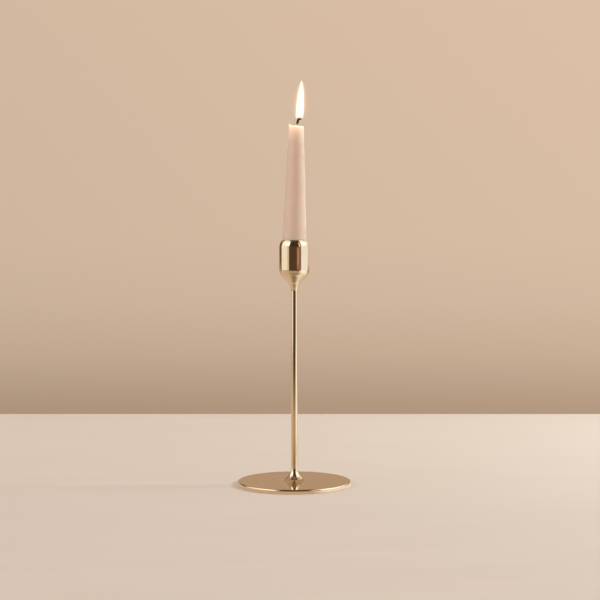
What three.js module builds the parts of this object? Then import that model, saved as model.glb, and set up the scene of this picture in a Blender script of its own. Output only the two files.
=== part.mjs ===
// A slim polished-brass candlestick: a thin disc foot with a small trumpet flare, a round
// rod for a stem, and a turned cup whose rounded shoulder closes in on a taper candle.
// A nut and two washers in a counterbore under the foot pull the assembly together, and a
// felt disc covers them. The candle stands loose in the cup and lifts straight out.
// Millimetres, +Z up, origin at the centre of the felt's underside.
import * as THREE from 'three';

// Felt pad, let into the underside of the foot
const FELT_RADIUS = 49;
const FELT_THICKNESS = 1.5;
const FELT_RECESS = 1.2;
const FELT_GAP = 0.3;

// Foot: a disc with a quarter-round flare up to the stem
const FOOT_RADIUS = 53;
const FOOT_THICKNESS = 3.8;
const FOOT_TOP_ROUND = 1.6;
const FOOT_UNDER_ROUND = 0.4;
const FLARE_RADIUS = 12.2;

// Stem: a plain rod with a thinner tenon at each end
const STEM_RADIUS = 3;
const TENON_RADIUS = 2;
const TENON_CLEARANCE = 0.15;
const TENON_CHAMFER = 0.3;
const UPPER_TENON_LENGTH = 10;

// Cup: a cylinder with a rounded shoulder above and a bowl, cone and neck below
const CUP_RIM_HEIGHT = 228.6;
const CUP_RADIUS = 14;
const CUP_SHOULDER_HEIGHT = 6.6;
const CUP_WALL_HEIGHT = 20.5;
const BOWL_RADIUS = 10;
const NECK_RADIUS = 14;
const SOCKET_RADIUS = 11.35;
const SOCKET_DEPTH = 24;
const LIP_WIDTH = 0.4;
const LIP_CHAMFER = 0.15;

// Fasteners under the foot, of the 4 mm size
const COUNTERBORE_RADIUS = 5;
const WASHER = { radius: 4.5, thickness: 0.8 };
const LOCK_WASHER = { radius: 3.8, thickness: 0.9, slitDegrees: 20 };
const NUT = { acrossFlats: 7, thickness: 3.2 };
const TENON_PAST_NUT = 0.2;
const NUT_TO_FELT = 0.4;

// Taper candle: a straight foot in the socket, then a long taper to a melted dish
const CANDLE_FOOT_RADIUS = 11;
const CANDLE_TOP_RADIUS = 6.75;
const CANDLE_SWELL = 0.2;
const CANDLE_ABOVE_RIM = 105.2;
const CANDLE_FOOT_GAP = 0.5;
const CANDLE_FOOT_CHAMFER = 0.5;
const CANDLE_LEAN_DEGREES = 0.95;
const DISH_DEPTH = 1.8;
const DISH_RIM = 1.2;

// Wick: a braid through the whole candle that ends in a charred hook
const WICK_RADIUS = 0.75;
const WICK_HOLE_RADIUS = 1.1;
const WICK_FOOT_INSET = 1;
const WICK_BEND_START = 1.2;
const WICK_HOOK_RISE = 7.4;
const WICK_HOOK_REACH = 4.4;

// Flame: a rounded foot, then sides that draw in to a point, leaning the way the wick points
const FLAME_RADIUS = 3.6;
const FLAME_LENGTH = 34.3;
const FLAME_OFFSET = 4.9;
const FLAME_ABOVE_WICK = 0.4;
const FLAME_LEAN_DEGREES = 3.7;
const FLAME_FULLNESS = 0.78;
const FLAME_FOOT_ROUND = 0.08;

// Facets around each kind of round piece, all multiples of four
const FOOT_FACETS = 72;
const CUP_FACETS = 48;
const ROD_FACETS = 24;
const WICK_FACETS = 8;

const QUARTER_TURN = Math.PI / 2;

// Heights that follow from the dimensions above
const footUnderside = FELT_THICKNESS - FELT_RECESS;
const footTop = footUnderside + FOOT_THICKNESS;
const flareTop = footTop + FLARE_RADIUS;
const nutBottom = FELT_THICKNESS + NUT_TO_FELT;
const lockWasherBottom = nutBottom + NUT.thickness;
const washerBottom = lockWasherBottom + LOCK_WASHER.thickness;
const counterboreTop = washerBottom + WASHER.thickness;
const boreRadius = TENON_RADIUS + TENON_CLEARANCE;
const shoulderStart = CUP_RIM_HEIGHT - CUP_SHOULDER_HEIGHT;
const bowlTop = shoulderStart - CUP_WALL_HEIGHT;
const socketFloor = CUP_RIM_HEIGHT - SOCKET_DEPTH;

// The cone between bowl and neck runs at 45 degrees, so it is as tall as it is wide.
const bowlEnd = new THREE.Vector2(CUP_RADIUS - BOWL_RADIUS, bowlTop)
  .add(new THREE.Vector2(Math.SQRT1_2, -Math.SQRT1_2).multiplyScalar(BOWL_RADIUS));
const neckEndRadius = STEM_RADIUS + NECK_RADIUS * (1 - Math.SQRT1_2);
const neckBottom = bowlEnd.y - (bowlEnd.x - neckEndRadius) - NECK_RADIUS * Math.SQRT1_2;

// The candle tilts about the middle of its socket; heights below are along its own axis.
const candlePivot = socketFloor + SOCKET_DEPTH / 2;
const candleFoot = socketFloor + CANDLE_FOOT_GAP - candlePivot;
const candleMouth = CUP_RIM_HEIGHT - candlePivot;
const candleTop = candleMouth + CANDLE_ABOVE_RIM;
const wickBend = candleTop - DISH_DEPTH + WICK_BEND_START;
const wickTop = wickBend + WICK_HOOK_RISE;

const point = (radius, height) => new THREE.Vector2(radius, height);

// Points along an arc in the profile plane, both ends included.
function arc(centreRadius, centreHeight, radius, fromDegrees, toDegrees, steps) {
  return Array.from({ length: steps + 1 }, (_, i) => {
    const angle = THREE.MathUtils.degToRad(
      THREE.MathUtils.lerp(fromDegrees, toDegrees, i / steps));
    return point(centreRadius + radius * Math.cos(angle), centreHeight + radius * Math.sin(angle));
  });
}

// A solid of revolution about +Z. The profile goes round its material anticlockwise.
function turned(profile, facets) {
  return new THREE.LatheGeometry(profile, facets).rotateX(QUARTER_TURN);
}

// A prism of the outline, standing on the given height.
function plate(outline, thickness, height) {
  const geometry = new THREE.ExtrudeGeometry(outline, {
    depth: thickness, bevelEnabled: false, curveSegments: ROD_FACETS / 2,
  });
  return geometry.translate(0, 0, height);
}

function withBore(outline) {
  const hole = new THREE.Path();
  hole.absarc(0, 0, boreRadius, 0, 2 * Math.PI, true);
  outline.holes.push(hole);
  return outline;
}

function footGeometry() {
  const recessRadius = FELT_RADIUS + FELT_GAP;
  const flareCentre = STEM_RADIUS + FLARE_RADIUS;
  const profile = [
    point(COUNTERBORE_RADIUS, FELT_THICKNESS),
    point(recessRadius, FELT_THICKNESS),
    point(recessRadius, footUnderside),
    ...arc(FOOT_RADIUS - FOOT_UNDER_ROUND, footUnderside + FOOT_UNDER_ROUND,
      FOOT_UNDER_ROUND, -90, 0, 3),
    ...arc(FOOT_RADIUS - FOOT_TOP_ROUND, footTop - FOOT_TOP_ROUND, FOOT_TOP_ROUND, 0, 90, 3),
    ...arc(flareCentre, flareTop, FLARE_RADIUS, -90, -180, 8),
    point(boreRadius, flareTop),
    point(boreRadius, counterboreTop),
    point(COUNTERBORE_RADIUS, counterboreTop),
    point(COUNTERBORE_RADIUS, FELT_THICKNESS),
  ];
  return turned(profile, FOOT_FACETS);
}

function stemGeometry() {
  const lowerEnd = nutBottom - TENON_PAST_NUT;
  const upperEnd = neckBottom + UPPER_TENON_LENGTH;
  const profile = [
    point(0, lowerEnd),
    point(TENON_RADIUS - TENON_CHAMFER, lowerEnd),
    point(TENON_RADIUS, lowerEnd + TENON_CHAMFER),
    point(TENON_RADIUS, flareTop),
    point(STEM_RADIUS, flareTop),
    point(STEM_RADIUS, neckBottom),
    point(TENON_RADIUS, neckBottom),
    point(TENON_RADIUS, upperEnd - TENON_CHAMFER),
    point(TENON_RADIUS - TENON_CHAMFER, upperEnd),
    point(0, upperEnd),
  ];
  return turned(profile, ROD_FACETS);
}

// The shoulder is tangent to the cup's wall and ends at the outer edge of the thin lip.
function cupGeometry() {
  const lipRadius = SOCKET_RADIUS + LIP_WIDTH;
  const lipInset = CUP_RADIUS - lipRadius;
  const shoulderRise = CUP_SHOULDER_HEIGHT - LIP_CHAMFER;
  const shoulderRadius = (lipInset ** 2 + shoulderRise ** 2) / (2 * lipInset);
  const shoulderDegrees = THREE.MathUtils.radToDeg(Math.asin(shoulderRise / shoulderRadius));
  const boreEnd = neckBottom + UPPER_TENON_LENGTH + TENON_CLEARANCE;
  const profile = [
    point(0, boreEnd),
    point(boreRadius, boreEnd),
    point(boreRadius, neckBottom),
    ...arc(STEM_RADIUS + NECK_RADIUS, neckBottom, NECK_RADIUS, 180, 135, 5),
    ...arc(CUP_RADIUS - BOWL_RADIUS, bowlTop, BOWL_RADIUS, -45, 0, 4),
    ...arc(CUP_RADIUS - shoulderRadius, shoulderStart, shoulderRadius, 0, shoulderDegrees, 4),
    point(lipRadius - LIP_CHAMFER, CUP_RIM_HEIGHT),
    point(SOCKET_RADIUS + LIP_CHAMFER, CUP_RIM_HEIGHT),
    point(SOCKET_RADIUS, CUP_RIM_HEIGHT - LIP_CHAMFER),
    point(SOCKET_RADIUS, socketFloor),
    point(0, socketFloor),
  ];
  return turned(profile, CUP_FACETS);
}

function feltGeometry() {
  const profile = [
    point(0, 0),
    point(FELT_RADIUS, 0),
    point(FELT_RADIUS, FELT_THICKNESS),
    point(0, FELT_THICKNESS),
  ];
  return turned(profile, FOOT_FACETS);
}

function washerGeometry() {
  const outline = new THREE.Shape();
  outline.absarc(0, 0, WASHER.radius, 0, 2 * Math.PI);
  return plate(withBore(outline), WASHER.thickness, washerBottom);
}

// A split spring washer, shown pressed flat under the tightened nut.
function lockWasherGeometry() {
  const halfSlit = THREE.MathUtils.degToRad(LOCK_WASHER.slitDegrees / 2);
  const outline = new THREE.Shape();
  outline.absarc(0, 0, LOCK_WASHER.radius, halfSlit, 2 * Math.PI - halfSlit);
  outline.absarc(0, 0, boreRadius, 2 * Math.PI - halfSlit, halfSlit, true);
  return plate(outline, LOCK_WASHER.thickness, lockWasherBottom);
}

function nutGeometry() {
  const cornerRadius = NUT.acrossFlats / Math.sqrt(3);
  const corners = Array.from({ length: 6 }, (_, i) => {
    const angle = i * Math.PI / 3;
    return new THREE.Vector2(cornerRadius * Math.cos(angle), cornerRadius * Math.sin(angle));
  });
  return plate(withBore(new THREE.Shape(corners)), NUT.thickness, nutBottom);
}

// A straight taper with a slight swell in the middle of its length.
function taper(steps) {
  return Array.from({ length: steps + 1 }, (_, i) => {
    const t = i / steps;
    const radius = THREE.MathUtils.lerp(CANDLE_FOOT_RADIUS, CANDLE_TOP_RADIUS, t)
      + CANDLE_SWELL * Math.sin(Math.PI * t);
    return point(radius, THREE.MathUtils.lerp(candleMouth, candleTop, t));
  });
}

function candleGeometry() {
  const profile = [
    point(WICK_HOLE_RADIUS, candleFoot),
    point(CANDLE_FOOT_RADIUS - CANDLE_FOOT_CHAMFER, candleFoot),
    point(CANDLE_FOOT_RADIUS, candleFoot + CANDLE_FOOT_CHAMFER),
    ...taper(8),
    point(CANDLE_TOP_RADIUS - DISH_RIM / 2, candleTop + DISH_RIM / 4),
    point(CANDLE_TOP_RADIUS - DISH_RIM, candleTop),
    point(CANDLE_TOP_RADIUS / 2, candleTop - DISH_DEPTH * 0.8),
    point(WICK_HOLE_RADIUS, candleTop - DISH_DEPTH),
    point(WICK_HOLE_RADIUS, candleFoot),
  ];
  return turned(profile, CUP_FACETS);
}

function wickGeometry() {
  const along = (x, z) => new THREE.Vector3(x, 0, z);
  const path = new THREE.CurvePath();
  path.add(new THREE.LineCurve3(along(0, candleFoot + WICK_FOOT_INSET), along(0, wickBend)));
  path.add(new THREE.CubicBezierCurve3(
    along(0, wickBend),
    along(0, wickBend + WICK_HOOK_RISE * 0.6),
    along(WICK_HOOK_REACH * 0.25, wickTop),
    along(WICK_HOOK_REACH, wickTop)));
  const section = new THREE.Shape();
  section.absarc(0, 0, WICK_RADIUS, 0, 2 * Math.PI);
  return new THREE.ExtrudeGeometry(section, {
    extrudePath: path, steps: 80, curveSegments: WICK_FACETS / 2,
  });
}

// The radius rises in a quarter circle at the foot and then falls slowly to the pointed tip.
function flameGeometry() {
  const steps = 14;
  const profile = Array.from({ length: steps + 1 }, (_, i) => {
    const t = (i / steps) ** 1.5;
    const foot = Math.sqrt(1 - (1 - Math.min(t / FLAME_FOOT_ROUND, 1)) ** 2);
    const width = foot * (1 - t ** 3) ** FLAME_FULLNESS;
    return point(FLAME_RADIUS * width, FLAME_LENGTH * t);
  });
  return turned(profile, ROD_FACETS);
}

function finish(color, roughness, metalness, extra = {}) {
  return new THREE.MeshStandardMaterial({ color, roughness, metalness, ...extra });
}

function part(name, geometry, material) {
  const mesh = new THREE.Mesh(geometry, material);
  mesh.name = name;
  return mesh;
}

const polishedBrass = () => finish('#c9a06a', 0.15, 1);
const platedSteel = () => finish('#b4b6b8', 0.35, 1);

const object = new THREE.Group();
object.add(
  part('felt_pad', feltGeometry(), finish('#3a2a20', 0.95, 0)),
  part('foot', footGeometry(), polishedBrass()),
  part('foot_washer', washerGeometry(), platedSteel()),
  part('foot_lock_washer', lockWasherGeometry(), platedSteel()),
  part('foot_nut', nutGeometry(), platedSteel()),
  part('stem', stemGeometry(), polishedBrass()),
  part('candle_cup', cupGeometry(), polishedBrass()),
);

const leaningCandle = new THREE.Group();
leaningCandle.position.z = candlePivot;
leaningCandle.rotation.y = THREE.MathUtils.degToRad(CANDLE_LEAN_DEGREES);
leaningCandle.add(
  part('taper_candle', candleGeometry(), finish('#e2bfa8', 0.5, 0)),
  part('candle_wick', wickGeometry(), finish('#1c1210', 0.9, 0)),
);

const flame = part('candle_flame', flameGeometry(), finish('#fff3c4', 1, 0, { emissive: '#ffe9a8' }));
flame.position.set(FLAME_OFFSET, 0, candlePivot + wickTop + WICK_RADIUS + FLAME_ABOVE_WICK);
flame.rotation.y = THREE.MathUtils.degToRad(FLAME_LEAN_DEGREES);

object.add(leaningCandle, flame);

export default object;
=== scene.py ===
"""The looks of the brass candlestick: turned brass, wax, wick, flame and felt, on a pale table."""
import math

import bmesh
import bpy
from mathutils import Matrix, Vector, noise


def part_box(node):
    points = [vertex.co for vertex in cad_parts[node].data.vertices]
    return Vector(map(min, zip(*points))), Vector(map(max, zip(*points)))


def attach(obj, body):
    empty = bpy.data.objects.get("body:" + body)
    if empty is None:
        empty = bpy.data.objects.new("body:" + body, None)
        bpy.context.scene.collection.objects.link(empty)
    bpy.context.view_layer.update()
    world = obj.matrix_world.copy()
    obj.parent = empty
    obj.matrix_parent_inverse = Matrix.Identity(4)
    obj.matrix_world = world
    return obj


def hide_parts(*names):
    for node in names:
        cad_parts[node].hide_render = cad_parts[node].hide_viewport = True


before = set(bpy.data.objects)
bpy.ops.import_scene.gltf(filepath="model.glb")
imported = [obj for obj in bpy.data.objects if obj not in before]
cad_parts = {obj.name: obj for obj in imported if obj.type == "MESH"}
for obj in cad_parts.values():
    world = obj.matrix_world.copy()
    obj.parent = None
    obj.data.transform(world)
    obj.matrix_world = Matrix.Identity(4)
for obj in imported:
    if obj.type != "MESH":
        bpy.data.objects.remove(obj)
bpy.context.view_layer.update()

MM = 0.001

# ---- Sizes and places, in metres, from the frame ---------------------------------------------
foot_low, foot_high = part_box("foot")
stem_low, stem_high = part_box("stem")
cup_low, cup_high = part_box("candle_cup")
felt_low, felt_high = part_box("felt_pad")
washer_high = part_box("foot_washer")[1]
candle_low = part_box("taper_candle")[0]
wick_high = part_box("candle_wick")[1]
flame_low, flame_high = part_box("candle_flame")

FOOT_RADIUS = foot_high.x
FOOT_THICKNESS = 3.8 * MM
FOOT_TOP = foot_low.z + FOOT_THICKNESS
FOOT_TOP_ROUND = 1.6 * MM
FOOT_UNDER_ROUND = 0.4 * MM
FLARE_TOP = foot_high.z
FLARE_RADIUS = FLARE_TOP - FOOT_TOP
FELT_RADIUS = felt_high.x
FELT_RECESS_RADIUS = FELT_RADIUS + 0.3 * MM
COUNTERBORE_RADIUS = 5 * MM

STEM_RADIUS = stem_high.x
TENON_RADIUS = 2 * MM
BORE_RADIUS = TENON_RADIUS + 0.15 * MM
NECK_BOTTOM = cup_low.z
SEAM = 0.08 * MM
# Degrees by which an arc stops short of the point where the next one starts.
ARC_GAP = 0.4

CUP_RADIUS = cup_high.x
CUP_RIM = cup_high.z
SHOULDER_START = CUP_RIM - 6.6 * MM
BOWL_TOP = SHOULDER_START - 20.5 * MM
BOWL_RADIUS = 10 * MM
NECK_RADIUS = 14 * MM
SOCKET_RADIUS = 11.35 * MM
SOCKET_FLOOR = CUP_RIM - 24 * MM
LIP_RADIUS = SOCKET_RADIUS + 0.4 * MM
LIP_ROUND = 0.15 * MM

CANDLE_LEAN = math.radians(0.95)
CANDLE_PIVOT = Vector((0, 0, (SOCKET_FLOOR + CUP_RIM) / 2))
CANDLE_FOOT_RADIUS = 11 * MM
CANDLE_TOP_RADIUS = 6.75 * MM
CANDLE_SWELL = 0.2 * MM
CANDLE_RIM = 333.6 * MM
POOL_DROP = 0.9 * MM

WICK_RADIUS = 1.0 * MM
FLAME_RADIUS = 3.5 * MM
FLAME_FULLNESS = 0.78
FLAME_FOOT_ROUND = 0.08


def replace(piece, node, body):
    """piece stands for the CAD node, which is hidden, and rides on its body."""
    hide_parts(node)
    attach(piece, body)
    return piece


# ---- Meshes ----------------------------------------------------------------------------------
def mesh_object(name, vertices, faces, material):
    """An object in the scene with the faces as they are given."""
    mesh = bpy.data.meshes.new(name)
    mesh.from_pydata([tuple(v) for v in vertices], [], faces)
    mesh.materials.append(material)
    item = bpy.data.objects.new(name, mesh)
    bpy.context.scene.collection.objects.link(item)
    return item


def smooth_solid(name, vertices, faces, material):
    """A smooth closed mesh with its faces turned outwards."""
    piece = mesh_object(name, vertices, faces, material)
    work = bmesh.new()
    work.from_mesh(piece.data)
    bmesh.ops.recalc_face_normals(work, faces=work.faces)
    work.to_mesh(piece.data)
    work.free()
    piece.data.shade_smooth()
    return piece


def arc(centre_radius, centre_height, radius, start, end, steps):
    """Points of an arc in the profile plane, from one angle in degrees to another."""
    angles = [math.radians(start + (end - start) * i / steps) for i in range(steps + 1)]
    return [(centre_radius + radius * math.cos(a), centre_height + radius * math.sin(a))
            for a in angles]


def with_supports(profile, closed, gap=0.12 * MM):
    """Adds a point close to both ends of each long straight run, so that shading stays flat."""
    points = []
    count = len(profile)
    for i in range(count if closed else count - 1):
        a, b = Vector(profile[i]), Vector(profile[(i + 1) % count])
        points.append(a)
        length = (b - a).length
        if length > 6 * gap:
            points += [a.lerp(b, gap / length), a.lerp(b, 1 - gap / length)]
    if not closed:
        points.append(Vector(profile[-1]))
    return points


def sweep(profile, segments, place):
    """Rings of vertices, one for each (radius, height) of the profile and a single vertex on the
    axis. place(radius, height, angle) gives a vertex."""
    vertices, rings = [], []
    for radius, height in profile:
        ring = []
        for k in range(segments if radius > 0 else 1):
            ring.append(len(vertices))
            vertices.append(place(radius, height, 2 * math.pi * k / segments))
        rings.append(ring)
    return vertices, rings


def round_axis(radius, height, angle):
    return (radius * math.cos(angle), radius * math.sin(angle), height)


def ring_faces(rings, closed=False):
    """Quads between neighbouring rings of vertices, with fans at single-point rings."""
    faces = []
    pairs = list(zip(rings, rings[1:])) + ([(rings[-1], rings[0])] if closed else [])
    for low, high in pairs:
        count = max(len(low), len(high))
        for k in range(count):
            n = (k + 1) % count
            if len(low) == 1:
                faces.append((low[0], high[n], high[k]))
            elif len(high) == 1:
                faces.append((low[k], low[n], high[0]))
            else:
                faces.append((low[k], low[n], high[n], high[k]))
    return faces


def turned(name, profile, segments, material):
    """A solid of revolution. The profile closes on itself, or starts and ends on the axis."""
    closed = profile[0][0] > 0
    vertices, rings = sweep(with_supports(profile, closed), segments, round_axis)
    return smooth_solid(name, vertices, ring_faces(rings, closed), material)


# ---- Shader helpers --------------------------------------------------------------------------
class Shader:
    """A material's node tree around one Principled BSDF, with short calls to add nodes."""

    def __init__(self, name, **constants):
        self.material = bpy.data.materials.new(name)
        self.material.use_nodes = True
        self.tree = self.material.node_tree
        self.surface = self.tree.nodes["Principled BSDF"]
        for socket, value in constants.items():
            self.surface.inputs[socket.replace("_", " ")].default_value = value
        self.place = self.node("ShaderNodeTexCoord").outputs["Object"]

    def node(self, kind, inputs=None, **settings):
        node = self.tree.nodes.new(kind)
        for key, value in settings.items():
            setattr(node, key, value)
        for key, value in (inputs or {}).items():
            if isinstance(value, bpy.types.NodeSocket):
                self.tree.links.new(value, node.inputs[key])
            else:
                node.inputs[key].default_value = value
        return node

    def link(self, output, socket):
        self.tree.links.new(output, self.surface.inputs[socket])

    def math(self, operation, a, b=0.0):
        return self.node("ShaderNodeMath", {0: a, 1: b}, operation=operation).outputs[0]

    def split(self):
        return self.node("ShaderNodeSeparateXYZ", {0: self.place}).outputs

    def noise(self, vector, scale, detail=3.0, roughness=0.55):
        return self.node("ShaderNodeTexNoise", {
            "Vector": vector, "Scale": scale, "Detail": detail, "Roughness": roughness,
        }).outputs["Fac"]

    def span(self, value, low, high, to_low=0.0, to_high=1.0):
        """Maps low..high to to_low..to_high, and holds at both ends."""
        return self.node("ShaderNodeMapRange", {
            "Value": value, "From Min": low, "From Max": high,
            "To Min": to_low, "To Max": to_high,
        }).outputs["Result"]

    def ramp(self, value, stops):
        ramp = self.node("ShaderNodeValToRGB", {"Fac": value})
        elements = ramp.color_ramp.elements
        while len(elements) < len(stops):
            elements.new(0.5)
        for element, (position, colour) in zip(elements, stops):
            element.position = position
            element.color = (*colour, 1)
        return ramp.outputs["Color"]

    def mix(self, share, first, second):
        """Blends two colours. The Mix node keeps one set of sockets for each kind of data, so the
        colours go in and come out by position."""
        mix = self.node("ShaderNodeMix", {0: share, 6: first, 7: second}, data_type="RGBA")
        return mix.outputs[2]

    def bump(self, height, distance):
        self.link(self.node("ShaderNodeBump", {
            "Height": height, "Distance": distance, "Strength": 1.0,
        }).outputs["Normal"], "Normal")


BRASS = (0.92, 0.77, 0.53)
BRASS_WORN = (0.84, 0.66, 0.42)


def brass(name, across_radius=False, dull_bowl=False):
    """Polished brass with faint lathe marks, rings on a flat face or bands up a shaft. A dull
    bowl is less polished between the cup's cylinder and its neck."""
    shader = Shader(name, Metallic=1.0)
    x, y, z = shader.split()
    if across_radius:
        flat = shader.node("ShaderNodeCombineXYZ", {0: x, 1: y}).outputs[0]
        along = shader.node("ShaderNodeVectorMath", {0: flat}, operation="LENGTH").outputs["Value"]
        shader.surface.inputs["Anisotropic"].default_value = 0.5
        shader.surface.inputs["Anisotropic Rotation"].default_value = 0.25
        rings = shader.node("ShaderNodeTangent", direction_type="RADIAL", axis="Z")
        shader.link(rings.outputs["Tangent"], "Tangent")
    else:
        along = z
    line = shader.node("ShaderNodeCombineXYZ", {0: along}).outputs[0]
    broad_marks = shader.noise(line, 260, 2.0)
    fine_marks = shader.noise(line, 2600, 3.0)
    smudges = shader.noise(shader.place, 55, 4.0)
    specks = shader.noise(shader.place, 900, 2.0)
    tarnish = shader.span(smudges, 0.45, 0.75, 0.0, 0.35)
    shader.link(shader.ramp(tarnish, [(0, BRASS), (1, BRASS_WORN)]), "Base Color")
    polish = 0.065
    gloss = shader.math("ADD", shader.span(broad_marks, 0.3, 0.7, polish, polish + 0.035),
                        shader.span(smudges, 0.4, 0.75, 0.0, 0.035))
    if dull_bowl:
        duller = shader.math("MULTIPLY", shader.span(z, BOWL_TOP - 1 * MM, BOWL_TOP - 8 * MM),
                             shader.span(z, NECK_BOTTOM + 3 * MM, NECK_BOTTOM + 8 * MM))
        gloss = shader.math("ADD", gloss, shader.math("MULTIPLY", duller, 0.2))
    shader.link(gloss, "Roughness")
    marks = shader.math("ADD", shader.math("MULTIPLY", broad_marks, 1.6),
                        shader.math("MULTIPLY", fine_marks, 0.15))
    shader.bump(shader.math("ADD", marks, shader.math("MULTIPLY", specks, 0.1)), 0.004 * MM)
    return shader.material


def plated_steel():
    """Zinc plate: grey, cloudy and slightly grained."""
    shader = Shader("zinc_plated_steel", Metallic=1.0)
    grain = shader.noise(shader.place, 1400, 3.0)
    cloud = shader.noise(shader.place, 180, 3.0)
    shader.link(shader.ramp(cloud, [(0.35, (0.52, 0.53, 0.55)), (0.7, (0.66, 0.66, 0.65))]),
                "Base Color")
    shader.link(shader.span(grain, 0.3, 0.7, 0.28, 0.42), "Roughness")
    shader.bump(grain, 0.01 * MM)
    return shader.material


def felt_cloth():
    """Dark brown felt: matted fibres in soft tufts."""
    shader = Shader("felt_cloth", Sheen_Weight=0.35, Sheen_Roughness=0.5, Specular_IOR_Level=0.2)
    fibres = shader.noise(shader.place, 1500, 6.0, 0.75)
    tufts = shader.noise(shader.place, 320, 4.0, 0.6)
    shader.link(shader.ramp(fibres, [(0.3, (0.022, 0.014, 0.009)), (0.7, (0.07, 0.045, 0.03))]),
                "Base Color")
    shader.link(shader.span(tufts, 0.3, 0.7, 0.88, 1.0), "Roughness")
    shader.bump(shader.math("ADD", fibres, tufts), 0.25 * MM)
    return shader.material


def candle_wax():
    """Blush wax: translucent, satin, mottled a little, with a painted glow near the rim in place
    of the flame's light inside it.
    """
    shader = Shader("blush_wax", IOR=1.44, Subsurface_Weight=1.0, Subsurface_Scale=0.0065)
    shader.surface.inputs["Subsurface Radius"].default_value = (1.15, 0.75, 0.62)
    z = shader.split()[2]
    mottle = shader.noise(shader.place, 70, 3.0)
    bloom = shader.noise(shader.place, 420, 4.0)
    shader.link(shader.ramp(mottle, [(0.3, (0.735, 0.585, 0.482)), (0.7, (0.775, 0.63, 0.527))]),
                "Base Color")
    shader.link(shader.span(bloom, 0.3, 0.7, 0.36, 0.5), "Roughness")
    shader.bump(shader.math("ADD", mottle, shader.math("MULTIPLY", bloom, 0.2)), 0.05 * MM)
    # Painted glow: emission that rises towards the rim, in place of the flame's light shining
    # through the wax.
    glow = shader.span(z, CANDLE_RIM - 20 * MM, CANDLE_RIM + 1 * MM)
    glow = shader.math("POWER", glow, 2.4)
    shader.link(shader.math("MULTIPLY", glow, 0.50), "Emission Strength")
    shader.surface.inputs["Emission Color"].default_value = (1.0, 0.76, 0.52, 1)
    return shader.material


def molten_wax():
    """Clear liquid wax with a painted warm glow in place of the flame's light on it."""
    # Painted glow: an even warm emission on the pool, in place of the flame's light.
    shader = Shader("molten_wax", Roughness=0.04, IOR=1.44, Subsurface_Weight=0.6,
                    Subsurface_Scale=0.004, Emission_Strength=0.55)
    shader.surface.inputs["Emission Color"].default_value = (1.0, 0.62, 0.30, 1)
    swirl = shader.noise(shader.place, 300, 2.0)
    shader.link(shader.ramp(swirl, [(0.3, (0.80, 0.56, 0.36)), (0.7, (0.86, 0.64, 0.44))]),
                "Base Color")
    shader.bump(swirl, 0.05 * MM)
    return shader.material


def charred_wick(foot, top):
    """Orange where it leaves the wax, a painted glow of the flame's light in its colour and
    emission, then black char, and brown at the hooked tip.
    """
    shader = Shader("charred_wick", Specular_IOR_Level=0.05)
    x, _, z = shader.split()
    char = shader.noise(shader.place, 2500, 4.0)
    height = shader.span(z, foot, top)
    # The orange at the foot is painted glow of the flame's light on the wick.
    colour = shader.ramp(height, [(0, (0.62, 0.36, 0.20)), (0.22, (0.42, 0.17, 0.08)),
                                  (0.36, (0.030, 0.010, 0.007)), (1, (0.035, 0.011, 0.008))])
    tip = shader.span(x, wick_high.x - 3.6 * MM, wick_high.x - 1 * MM)
    shader.link(shader.mix(tip, colour, (0.12, 0.035, 0.02, 1)), "Base Color")
    shader.link(shader.span(char, 0.3, 0.7, 0.75, 1.0), "Roughness")
    shader.bump(char, 0.1 * MM)
    # Painted glow: orange emission at the wick's foot, in place of the flame's light on it.
    painted_flame_glow = shader.span(height, 0.26, 0.05, 0.0, 0.3)
    shader.link(painted_flame_glow, "Emission Strength")
    shader.surface.inputs["Emission Color"].default_value = (1.0, 0.42, 0.12, 1)
    return shader.material


def burning_gas(name, stops, strength, opacity, low, high, fade):
    """Glowing gas: colour by height, clear below the fade and as opaque as asked above it."""
    shader = Shader(name, Roughness=1.0, Specular_IOR_Level=0.0)
    shader.surface.inputs["Base Color"].default_value = (0, 0, 0, 1)
    z = shader.split()[2]
    height = shader.span(z, low, high)
    shader.link(shader.ramp(height, stops), "Emission Color")
    shader.surface.inputs["Emission Strength"].default_value = strength
    shader.link(shader.span(height, fade[0], fade[1], 0.0, opacity), "Alpha")
    return shader.material


# ---- Brass pieces ----------------------------------------------------------------------------
def make_foot():
    """The disc with its flare: hollow below for the felt and the nut, bored for the tenon."""
    flare_centre = STEM_RADIUS + FLARE_RADIUS
    profile = [
        (COUNTERBORE_RADIUS, felt_high.z),
        (FELT_RECESS_RADIUS, felt_high.z),
        (FELT_RECESS_RADIUS, foot_low.z),
        *arc(FOOT_RADIUS - FOOT_UNDER_ROUND, foot_low.z + FOOT_UNDER_ROUND,
             FOOT_UNDER_ROUND, -90, 0, 10),
        *arc(FOOT_RADIUS - FOOT_TOP_ROUND, FOOT_TOP - FOOT_TOP_ROUND, FOOT_TOP_ROUND, 0, 90, 12),
        *arc(flare_centre, FLARE_TOP, FLARE_RADIUS, -90, ARC_GAP - 180, 40),
        *arc(STEM_RADIUS - SEAM, FLARE_TOP - SEAM, SEAM, 0, 90, 4),
        (BORE_RADIUS, FLARE_TOP),
        (BORE_RADIUS, washer_high.z),
        (COUNTERBORE_RADIUS, washer_high.z),
    ]
    foot = turned("foot_brass_disc", profile, 256, brass("foot_brass", across_radius=True))
    replace(foot, "foot", "candlestick")


def make_stem():
    """A plain rod with a thinner tenon at each end."""
    chamfer = 0.3 * MM
    profile = [
        (0, stem_low.z),
        (TENON_RADIUS - chamfer, stem_low.z),
        (TENON_RADIUS, stem_low.z + chamfer),
        (TENON_RADIUS, FLARE_TOP),
        *arc(STEM_RADIUS - SEAM, FLARE_TOP + SEAM, SEAM, -90, 0, 4),
        *arc(STEM_RADIUS - SEAM, NECK_BOTTOM - SEAM, SEAM, 0, 90, 4),
        (TENON_RADIUS, NECK_BOTTOM),
        (TENON_RADIUS, stem_high.z - chamfer),
        (TENON_RADIUS - chamfer, stem_high.z),
        (0, stem_high.z),
    ]
    stem = turned("stem_brass_rod", profile, 96, brass("stem_brass"))
    replace(stem, "stem", "candlestick")


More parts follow.
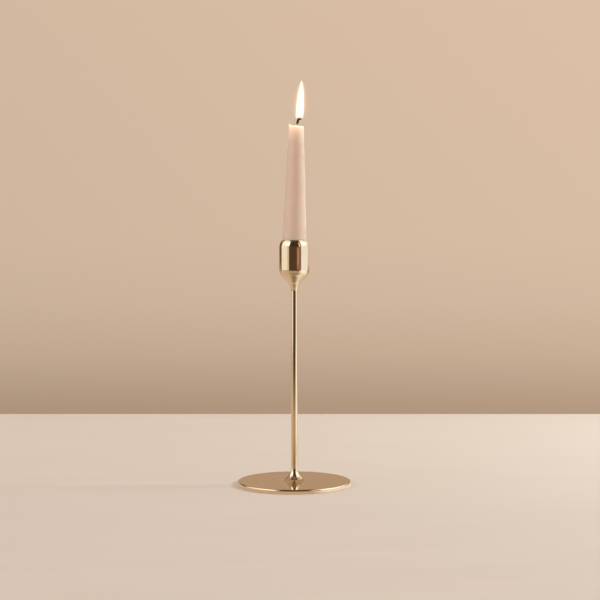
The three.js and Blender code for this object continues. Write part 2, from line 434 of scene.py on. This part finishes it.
def make_cup():
    """The shoulder is one arc, upright at its foot, from the cylinder to the lip."""
    inset = CUP_RADIUS - LIP_RADIUS
    rise = CUP_RIM - LIP_ROUND - SHOULDER_START
    shoulder = (inset ** 2 + rise ** 2) / (2 * inset)
    shoulder_end = math.degrees(math.asin(rise / shoulder))
    bore_end = stem_high.z + 0.15 * MM
    floor_chamfer = 0.5 * MM
    profile = [
        (0, bore_end),
        (BORE_RADIUS, bore_end),
        (BORE_RADIUS, NECK_BOTTOM),
        *arc(STEM_RADIUS - SEAM, NECK_BOTTOM + SEAM, SEAM, -90, 0, 4),
        *arc(STEM_RADIUS + NECK_RADIUS, NECK_BOTTOM, NECK_RADIUS, 180 - ARC_GAP, 135, 24),
        *arc(CUP_RADIUS - BOWL_RADIUS, BOWL_TOP, BOWL_RADIUS, -45, 0, 24),
        *arc(CUP_RADIUS - shoulder, SHOULDER_START, shoulder, 0, shoulder_end, 24),
        *arc(LIP_RADIUS - LIP_ROUND, CUP_RIM - LIP_ROUND, LIP_ROUND, 45, 90, 3),
        *arc(SOCKET_RADIUS + LIP_ROUND, CUP_RIM - LIP_ROUND, LIP_ROUND, 90, 180, 5),
        (SOCKET_RADIUS, SOCKET_FLOOR + floor_chamfer),
        (SOCKET_RADIUS - floor_chamfer, SOCKET_FLOOR),
        (0, SOCKET_FLOOR),
    ]
    cup = turned("candle_cup_brass", profile, 192, brass("cup_brass", dull_bowl=True))
    replace(cup, "candle_cup", "candlestick")


# ---- Felt ------------------------------------------------------------------------------------
def make_felt():
    """A cut felt disc with flat faces and a slightly ragged edge."""
    edge = 0.25 * MM
    profile = ([(0, felt_low.z)] + [(FELT_RADIUS * i / 10, felt_low.z) for i in range(1, 10)]
               + [(FELT_RADIUS - edge, felt_low.z), (FELT_RADIUS, felt_low.z + edge),
                  (FELT_RADIUS, (felt_low.z + felt_high.z) / 2),
                  (FELT_RADIUS, felt_high.z - edge), (FELT_RADIUS - edge, felt_high.z)]
               + [(FELT_RADIUS * i / 10, felt_high.z) for i in range(9, 0, -1)]
               + [(0, felt_high.z)])

    def cut(radius, height, angle):
        place = Vector((math.cos(angle), math.sin(angle), height / FELT_RADIUS * 8))
        ragged = radius / FELT_RADIUS * 0.12 * MM * (noise.noise(place * 40) - 0.6)
        return round_axis(radius + ragged, height, angle)

    vertices, rings = sweep(profile, 288, cut)
    felt = smooth_solid("felt_pad_disc", vertices, ring_faces(rings), felt_cloth())
    replace(felt, "felt_pad", "candlestick")


# ---- Candle ----------------------------------------------------------------------------------
lean = (Matrix.Translation(CANDLE_PIVOT) @ Matrix.Rotation(CANDLE_LEAN, 4, "Y")
        @ Matrix.Translation(-CANDLE_PIVOT))


def rim_height(angle):
    """How far the burnt rim stands above or below its mean: one peak left unmelted on -X."""
    from_peak = math.remainder(angle - math.radians(183), 2 * math.pi)
    peak = 2.7 * MM * math.exp(-(from_peak / math.radians(30)) ** 2)
    return peak + 0.25 * MM * math.sin(2 * angle + 0.6) + 0.12 * MM * math.sin(5 * angle)


def candle_radius(height):
    """Straight inside the socket, then a taper that swells slightly half way up."""
    t = (height - CUP_RIM) / (CANDLE_RIM - CUP_RIM)
    if t < 0:
        return CANDLE_FOOT_RADIUS
    taper = CANDLE_FOOT_RADIUS + (CANDLE_TOP_RADIUS - CANDLE_FOOT_RADIUS) * t
    return taper + CANDLE_SWELL * math.sin(math.pi * min(t, 1))


def make_candle():
    """The taper: straight foot, long swelling taper, uneven rim and a shallow melted dish."""
    foot = candle_low.z + 0.2 * MM
    chamfer = 0.6 * MM
    outer = [(0.0, foot), (CANDLE_FOOT_RADIUS - chamfer, foot),
             (CANDLE_FOOT_RADIUS, foot + chamfer)]
    steps = 110
    for i in range(1, steps + 1):
        height = foot + chamfer + (CANDLE_RIM - foot - chamfer) * i / steps
        outer.append((candle_radius(height), height))
    # The dish, from the rim's round inner edge down to its floor and up the wax round the wick:
    # the radius, and the height above the rim.
    dish = [(CANDLE_TOP_RADIUS - 0.13 * MM, 0.32 * MM), (CANDLE_TOP_RADIUS - 0.45 * MM, 0.45 * MM),
            (CANDLE_TOP_RADIUS - 0.8 * MM, 0.34 * MM), (CANDLE_TOP_RADIUS - 1.2 * MM, 0.0),
            (CANDLE_TOP_RADIUS - 1.8 * MM, -0.7 * MM), (CANDLE_TOP_RADIUS - 2.8 * MM, -1.2 * MM),
            (2.6 * MM, -1.3 * MM), (1.8 * MM, -0.7 * MM), (1.2 * MM, 0.5 * MM),
            (0.9 * MM, 1.5 * MM), (0.0, 1.7 * MM)]
    melt_zone = 8 * MM
    dish_floor = 3.2 * MM

    def waxy(radius, height, angle, on_rim):
        """A point of the wax, on_rim being how far it follows the rim's ups and downs."""
        uneven = 0.0
        if radius > 2 * MM and height > CUP_RIM + 2 * MM:
            around = Vector((math.cos(angle), math.sin(angle), height * 60))
            uneven = 0.09 * MM * noise.noise(around * 1.3)
        height += rim_height(angle) * on_rim
        return lean @ Vector(round_axis(radius + uneven, height, angle))

    def outside(radius, height, angle):
        on_rim = max(0.0, min(1.0, (height - CANDLE_RIM + melt_zone) / melt_zone)) ** 2
        return waxy(radius, height, angle, on_rim)

    def inside(radius, height, angle):
        on_rim = max(0.0, (radius - dish_floor) / (CANDLE_TOP_RADIUS - dish_floor)) ** 1.5
        return waxy(radius, CANDLE_RIM + height, angle, on_rim)

    segments = 144
    vertices, rings = sweep(outer, segments, outside)
    dish_vertices, dish_rings = sweep(dish, segments, inside)
    rings += [[k + len(vertices) for k in ring] for ring in dish_rings]
    vertices += dish_vertices
    candle = smooth_solid("taper_candle_wax", vertices, ring_faces(rings), candle_wax())
    replace(candle, "taper_candle", "candle")


def make_pool():
    """Melted wax in the dish: a thin lens with a raised edge where it wets the wick and wall."""
    level = CANDLE_RIM - POOL_DROP
    radius = CANDLE_TOP_RADIUS - 1.9 * MM
    profile = [(0, level - 0.35 * MM), (radius * 0.6, level - 0.3 * MM), (radius, level),
               (radius * 0.96, level + 0.1 * MM), (radius * 0.8, level), (radius * 0.45, level),
               (1.3 * MM, level + 0.25 * MM), (0.9 * MM, level + 0.8 * MM),
               (0, level + 1.0 * MM)]
    pool = turned("melted_wax_pool", profile, 64, molten_wax())
    pool.data.transform(lean)
    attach(pool, "candle")


def bezier(points, t):
    """The point at a share t of a Bezier curve with any number of control points."""
    while len(points) > 1:
        points = [a.lerp(b, t) for a, b in zip(points, points[1:])]
    return points[0]


def make_wick():
    """A braided wick of three twisted plies that comes out of the wax and hooks over."""
    base = lean @ Vector((-0.1 * MM, 0, CANDLE_RIM - 2 * MM))
    bend = Vector((base.x + 1.05 * MM, 0, CANDLE_RIM + 3.4 * MM))
    tip = Vector((wick_high.x - 0.1 * MM, 0, CANDLE_RIM + 7.0 * MM))
    rise = [base, base + Vector((0.3 * MM, 0, 3 * MM)), bend]
    crest = Vector((tip.x - 2.9 * MM, 0, tip.z + 0.9 * MM))
    hook = [bend, bend + (bend - rise[1]) * 1.1, crest, tip]
    path = [bezier(rise, i / 24) for i in range(24)] + [bezier(hook, i / 36) for i in range(37)]
    segments, vertices, rings = 24, [], []
    for i, centre in enumerate(path):
        ahead = path[min(i + 1, len(path) - 1)] - path[max(i - 1, 0)]
        side = Vector((0, 1, 0))
        up = ahead.normalized().cross(side)
        along = i / len(path)
        taper = 1 - 0.25 * max(0.0, along - 0.85) / 0.15
        ring = []
        for k in range(segments):
            angle = 2 * math.pi * k / segments
            ply = 1 + 0.13 * math.cos(3 * angle + along * 26)
            around = Vector((math.cos(angle), math.sin(angle), along * 14))
            char = 1 + 0.12 * noise.noise(around * 2)
            radius = WICK_RADIUS * ply * char * taper
            ring.append(len(vertices))
            vertices.append(centre + radius * (math.cos(angle) * side + math.sin(angle) * up))
        rings.append(ring)
    ends = [[len(vertices)], [len(vertices) + 1]]
    vertices += [path[0], path[-1] + (path[-1] - path[-2]).normalized() * 0.3 * MM]
    faces = ring_faces([ends[0], *rings, ends[1]])
    wick = smooth_solid("braided_wick", vertices, faces,
                        charred_wick(CANDLE_RIM + 1.2 * MM, CANDLE_RIM + 7.5 * MM))
    replace(wick, "candle_wick", "candle")


# ---- Flame -----------------------------------------------------------------------------------
# The flame's foot is clear where it surrounds the wick, so it starts below the CAD flame.
FLAME_FOOT = flame_low.z - 2.0 * MM
FLAME_TIP = flame_high.z
FLAME_START_X = 4.58 * MM
FLAME_DRIFT = 2.24 * MM
FLAME_DEPTH = 0.92

# Each skin of glowing gas: metres outside the core, brightness, opacity and colour.
GLOW_SKINS = [(0.5 * MM, 1.25, 0.30, (1.0, 0.78, 0.42)), (1.4 * MM, 1.35, 0.10, (1.0, 0.70, 0.46)),
              (3.4 * MM, 1.5, 0.06, (1.0, 0.58, 0.37))]


def flame_width(t):
    """Share of the full radius at a share t of the height: a round foot and a drawn-out tip."""
    foot = math.sqrt(1 - (1 - min(t / FLAME_FOOT_ROUND, 1)) ** 2)
    return foot * (1 - t ** 3) ** FLAME_FULLNESS


def flame_shell(name, extra, material):
    """One skin of the flame, extra metres outside its visible body."""
    foot, tip = FLAME_FOOT - extra * 0.5, FLAME_TIP + extra * 0.25
    steps = 64
    shares = [(i / steps) ** 1.4 for i in range(1, steps)]
    profile = [(0, 0), *[((FLAME_RADIUS + extra) * flame_width(t), t) for t in shares], (0, 1)]

    def leaning(radius, t, angle):
        return (FLAME_START_X + FLAME_DRIFT * t + radius * math.cos(angle),
                FLAME_DEPTH * radius * math.sin(angle), foot + (tip - foot) * t)

    vertices, rings = sweep(profile, 48, leaning)
    return smooth_solid(name, vertices, ring_faces(rings), material)


def make_flame():
    """A bright core, its faint halo and the light that it gives."""
    reach = (FLAME_FOOT, FLAME_TIP)
    hues = [(0, (0.85, 0.66, 0.48)), (0.08, (0.92, 0.85, 0.66)), (0.18, (1.0, 1.0, 0.86)),
            (0.3, (1.0, 1.0, 1.0)), (0.9, (1.0, 0.98, 0.90)), (1, (1.0, 0.90, 0.66))]
    core = burning_gas("flame_core", hues, 1.3, 1.0, *reach, fade=(0.03, 0.12))
    body = replace(flame_shell("flame_core", 0, core), "candle_flame", "candle")
    skins = [body]
    for i, (extra, strength, opacity, colour) in enumerate(GLOW_SKINS):
        gas = burning_gas(f"flame_glow_{i}", [(0, colour), (1, colour)],
                          strength, opacity, *reach, fade=(0.03, 0.35))
        skin = flame_shell(f"flame_glow_{i}", extra, gas)
        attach(skin, "candle")
        skins.append(skin)
    for skin in skins:
        skin.visible_shadow = False
    light = bpy.data.lights.new("flame_light", "POINT")
    light.energy = 0.010
    light.color = (1.0, 0.76, 0.50)
    light.shadow_soft_size = 3 * MM
    lamp = bpy.data.objects.new("flame_light", light)
    lamp.location = (FLAME_START_X + 0.3 * MM, 0, FLAME_FOOT + 8 * MM)
    bpy.context.scene.collection.objects.link(lamp)
    lamp.visible_camera = False
    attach(lamp, "candle")


# ---- Studio: table, backdrop, reflection cards and lights, none of it part of the object ------
TABLE_BACK = 0.55
TABLE_FRONT = -3.0
TABLE_HALF_WIDTH = 2.5
STUDIO_CENTRE = Vector((0, 0, 0.2))
# Degrees that one face of a curved card spans at most, or nearly so.
CARD_STEP = 8


def srgb(*values):
    """Linear colour of an sRGB one given from 0 to 255."""
    return tuple(((v / 255 + 0.055) / 1.055) ** 2.4 for v in values)


def studio_direction(azimuth, elevation):
    """From the middle of the studio. Azimuth 0 is behind the camera and 90 on the right."""
    turn, rise = math.radians(azimuth), math.radians(elevation)
    return Vector((math.sin(turn) * math.cos(rise), -math.cos(turn) * math.cos(rise),
                   math.sin(rise)))


def add_plate(name, corners, material):
    plate = mesh_object(name, corners, [(0, 1, 2, 3)], material)
    return plate


def add_table_top(name, height, material):
    w = TABLE_HALF_WIDTH
    return add_plate(name, [(-w, TABLE_FRONT, height), (w, TABLE_FRONT, height),
                            (w, TABLE_BACK, height), (-w, TABLE_BACK, height)], material)


def only_mirrored(item):
    """Lets the brass mirror the item, but it lights nothing and the camera doesn't see it."""
    item.visible_camera = False
    item.visible_diffuse = False
    item.visible_transmission = False
    item.visible_volume_scatter = False
    item.visible_shadow = False


def emitter(name, colour):
    """A black surface that glows in one even colour."""
    shader = Shader(name, Roughness=1.0, Specular_IOR_Level=0.0, Emission_Strength=1.0)
    shader.surface.inputs["Base Color"].default_value = (0, 0, 0, 1)
    shader.surface.inputs["Emission Color"].default_value = (*colour, 1)
    return shader


def make_table():
    """A pale matt table with faint grain along X, and painted light that makes it a little lighter
    at the back. The brass mirrors the other table top instead."""
    shader = Shader("pale_table", Specular_IOR_Level=0.2)
    x, y, _ = shader.split()
    stretched = shader.node("ShaderNodeCombineXYZ", {0: shader.math("MULTIPLY", x, 0.12), 1: y})
    grain = shader.noise(stretched.outputs[0], 45, 5.0)
    # Painted light: the table is lighter towards the back.
    painted_light_to_back = shader.span(y, -0.15, 0.45)
    grain_and_painted_light = shader.math("ADD", shader.math("MULTIPLY", grain, 0.4),
                       shader.math("MULTIPLY", painted_light_to_back, 0.6))
    shader.link(shader.ramp(grain_and_painted_light, [(0.12, (0.795, 0.650, 0.555)), (0.88, (0.915, 0.755, 0.640))]),
                "Base Color")
    shader.link(shader.span(grain, 0.3, 0.7, 0.55, 0.68), "Roughness")
    add_table_top("table", 0, shader.material).visible_glossy = False


def make_mirrored_table():
    """A painted reflection of the table for the brass: painted shade towards the dark room,
    painted highlights by the white card.
    """
    shader = emitter("mirrored_table", (1, 1, 1))
    x, y, _ = shader.split()
    flat = shader.node("ShaderNodeCombineXYZ", {0: x, 1: y}).outputs[0]
    away = shader.node("ShaderNodeVectorMath", {0: flat}, operation="LENGTH").outputs["Value"]
    reach = 1.15

    def by_distance(stops):
        """A colour that changes with the distance from the stem, given in metres."""
        shares = [(distance / reach, colour) for distance, colour in stops]
        return shader.ramp(shader.span(away, 0, reach), shares)

    # Painted reflection: bands of painted shade and painted highlight by the distance from the
    # stem.
    front = by_distance([
        (0.06, (0.60, 0.45, 0.32)), (0.12, (0.27, 0.175, 0.12)), (0.25, (0.43, 0.30, 0.21)),
        (0.50, (0.50, 0.37, 0.27)), (0.70, (0.30, 0.21, 0.155)), (reach, (0.06, 0.037, 0.023))])
    right = by_distance([
        (0.08, (0.82, 0.74, 0.66)), (0.13, (0.97, 0.92, 0.88)), (0.20, (0.84, 0.76, 0.68)),
        (0.25, (0.84, 0.76, 0.68)), (0.32, (1.02, 1.01, 1.02)), (0.60, (1.08, 1.08, 1.12))])
    # The direction from the stem: 0 towards the camera and positive on the right.
    turn = shader.math("ARCTAN2", x, shader.math("MULTIPLY", y, -1))
    to_right = shader.span(turn, math.radians(34), math.radians(62))
    to_left = shader.span(turn, math.radians(-26), math.radians(-60))
    to_rear = shader.span(shader.math("ABSOLUTE", turn), math.radians(96), math.radians(140))
    # A painted highlight on the reflected table beside the foot.
    painted_highlight_beside_foot = shader.math("MULTIPLY", shader.span(away, 0.12, 0.085),
                              shader.span(turn, math.radians(20), math.radians(36)))
    colour = front
    for share, side in ((to_left, (0.61, 0.475, 0.36, 1)), (to_right, right),
                        (to_rear, (0.68, 0.55, 0.44, 1)), (painted_highlight_beside_foot, (0.92, 0.87, 0.85, 1))):
        colour = shader.mix(share, colour, side)
    shader.link(colour, "Emission Color")
    only_mirrored(add_table_top("mirrored_table", -0.2 * MM, shader.material))


def make_card(name, azimuths, elevations, distance, colour, fade=None):
    """A curved card for the brass to mirror. With a fade it is as bright as asked at its top and
    that share of it at its foot."""
    vertices, faces = [], []
    columns = max(1, round((azimuths[1] - azimuths[0]) / CARD_STEP))
    rows = max(1, round((elevations[1] - elevations[0]) / CARD_STEP))
    for i in range(columns + 1):
        azimuth = azimuths[0] + (azimuths[1] - azimuths[0]) * i / columns
        for j in range(rows + 1):
            elevation = elevations[0] + (elevations[1] - elevations[0]) * j / rows
            vertices.append(STUDIO_CENTRE + distance * studio_direction(azimuth, elevation))
    for i in range(columns):
        for j in range(rows):
            a = i * (rows + 1) + j
            faces.append((a, a + rows + 1, a + rows + 2, a + 1))
    shader = emitter(name, colour)
    if fade is not None:
        heights = [vertex.z for vertex in vertices]
        shader.link(shader.span(shader.split()[2], min(heights), max(heights), fade, 1.0),
                    "Emission Strength")
    card = mesh_object(name, vertices, faces, shader.material)
    only_mirrored(card)


def make_cards():
    """The room that the brass mirrors: dark behind the camera with a warm stripe in it, a bright
    window on each side, and dim behind the candlestick."""
    level = (-7, 14)
    make_card("dark_room", (-45, 62), (-7, 9), 1.80, (0.085, 0.050, 0.030))
    make_card("dark_room_high", (-48, 64), (9, 62), 1.80, (0.045, 0.030, 0.018))
    make_card("ceiling", (-180, 180), (60, 90), 1.85, (0.15, 0.10, 0.07))
    make_card("orange_card", (20.5, 37.5), (-1.6, 0.8), 1.72, (0.92, 0.44, 0.30), fade=0.25)
    make_card("orange_slot", (36, 49), (6, 46), 1.72, (0.88, 0.68, 0.48))
    make_card("brown_card", (38, 54), (-7, 6), 1.74, (0.22, 0.145, 0.10))
    make_card("left_inner", (-55, -41), level, 1.75, (0.68, 0.60, 0.53))
    make_card("left", (-113, -55), level, 1.76, (0.94, 0.89, 0.89))
    make_card("left_high", (-112, -38), (14, 46), 1.75, (1.20, 1.17, 1.20))
    make_card("left_top", (-112, -40), (46, 60), 1.75, (0.85, 0.78, 0.82))
    make_card("left_window", (-70, -39), (16, 48), 1.70, (1.65, 1.60, 1.65))
    make_card("left_gap", (-160, -113), level, 1.75, (0.16, 0.095, 0.062))
    make_card("left_gap_high", (-160, -112), (14, 22), 1.75, (0.16, 0.095, 0.062))
    make_card("left_rear_high", (-160, -112), (22, 62), 1.75, (0.42, 0.29, 0.20))
    make_card("right", (54, 122), level, 1.75, (0.94, 0.94, 1.04))
    make_card("right_outer", (122, 140), level, 1.75, (0.80, 0.72, 0.66))
    make_card("right_high", (56, 108), (14, 48), 1.75, (1.20, 1.18, 1.20))
    make_card("right_top", (62, 108), (48, 62), 1.75, (1.00, 0.95, 1.00))
    make_card("right_rear", (108, 150), (14, 36), 1.75, (1.05, 1.00, 0.98))
    make_card("right_rear_high", (108, 150), (36, 62), 1.75, (0.60, 0.46, 0.36))
    make_card("right_window", (66, 108), (14, 40), 1.70, (1.75, 1.70, 1.65))
    make_card("rear_high", (140, 200), (14, 62), 1.78, (0.42, 0.29, 0.20))
    # A painted reflection of the foot of the wall behind the table: an even sheet that only the
    # brass sees, which shows in the flat of the foot.
    wall = srgb(181, 153, 129)
    half_width, height = 0.8, 0.19
    only_mirrored(add_plate("wall_foot", [
        (-half_width, TABLE_BACK, 0), (half_width, TABLE_BACK, 0),
        (half_width, TABLE_BACK, height), (-half_width, TABLE_BACK, height)],
        emitter("wall_foot", wall).material))


def make_lamp(name, azimuth, elevation, distance, width, height, radiance, colour):
    """An area lamp that faces the candlestick and doesn't show in the brass."""
    direction = studio_direction(azimuth, elevation)
    light = bpy.data.lights.new(name, "AREA")
    light.shape = "RECTANGLE"
    light.size = width
    light.size_y = height
    light.energy = radiance * math.pi * width * height
    light.color = colour
    lamp = bpy.data.objects.new(name, light)
    lamp.location = STUDIO_CENTRE + distance * direction
    lamp.rotation_euler = direction.to_track_quat("Z", "Y").to_euler()
    lamp.visible_glossy = False
    lamp.visible_camera = False
    bpy.context.scene.collection.objects.link(lamp)


def make_lamps():
    """A strong lamp on the right and two weak fills. Radiance is in watts per square metre and
    steradian."""
    make_lamp("key", azimuth=98, elevation=23, distance=1.4, width=0.28, height=0.28,
              radiance=42.5, colour=(0.80, 0.97, 1.0))
    make_lamp("left_fill", azimuth=-75, elevation=22, distance=1.4, width=0.9, height=0.9,
              radiance=1.4, colour=(1.0, 0.96, 0.92))
    make_lamp("front_fill", azimuth=-5, elevation=30, distance=1.6, width=0.9, height=0.6,
              radiance=0.8, colour=(1.0, 0.95, 0.90))


def make_backdrop():
    """A plain tan surround that darkens towards the table, and neutral soft light overhead."""
    world = bpy.data.worlds.new("backdrop")
    bpy.context.scene.world = world
    world.use_nodes = True
    nodes, links = world.node_tree.nodes, world.node_tree.links

    def span(value, low, high, to_low, to_high):
        mapped = nodes.new("ShaderNodeMapRange")
        numbers = {"From Min": low, "From Max": high, "To Min": to_low, "To Max": to_high}
        for socket, number in numbers.items():
            mapped.inputs[socket].default_value = number
        links.new(value, mapped.inputs["Value"])
        return mapped.outputs["Result"]

    split = nodes.new("ShaderNodeSeparateXYZ")
    links.new(nodes.new("ShaderNodeTexCoord").outputs["Generated"], split.inputs[0])
    lowest, highest = math.sin(math.radians(-8)), 1.0
    # Colours by the angle above the horizon, in degrees.
    stops = [(-6.6, srgb(176, 150, 125)), (-5.5, srgb(187, 161, 137)), (-4.4, srgb(197, 171, 146)),
             (-2.4, srgb(207, 181, 157)), (0, srgb(212, 186, 161)), (10, srgb(216, 189, 164)),
             (22, (0.62, 0.59, 0.56)), (90, (0.62, 0.60, 0.58))]
    ramp = nodes.new("ShaderNodeValToRGB")
    elements = ramp.color_ramp.elements
    while len(elements) < len(stops):
        elements.new(0.5)
    for element, (elevation, colour) in zip(elements, stops):
        element.position = (math.sin(math.radians(elevation)) - lowest) / (highest - lowest)
        element.color = (*colour, 1)
    links.new(span(split.outputs["Z"], lowest, highest, 0, 1), ramp.inputs["Fac"])
    background = nodes["Background"]
    links.new(ramp.outputs["Color"], background.inputs["Color"])
    # The right of the picture is a little brighter than the left.
    links.new(span(split.outputs["X"], -0.2, 0.2, 0.95, 1.04), background.inputs["Strength"])


def make_camera():
    """Eye level with the cup's rim, 1.35 m away, tipped down a little."""
    data = bpy.data.cameras.new("camera")
    data.lens = 87.06
    data.sensor_width = 36
    camera = bpy.data.objects.new("camera", data)
    camera.location = (5.3 * MM, -1.35, 0.229)
    camera.rotation_euler = (math.radians(90 - 2.38), 0, 0)
    bpy.context.scene.collection.objects.link(camera)
    bpy.context.scene.camera = camera


make_camera()
make_backdrop()
make_table()
make_mirrored_table()
make_cards()
make_lamps()
make_foot()
make_stem()
make_cup()
make_felt()
make_candle()
make_pool()
make_wick()
make_flame()

steel = plated_steel()
for fastener in ("foot_washer", "foot_lock_washer", "foot_nut"):
    for material_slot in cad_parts[fastener].material_slots:
        material_slot.material = steel

bpy.context.scene.view_settings.view_transform = "Standard"
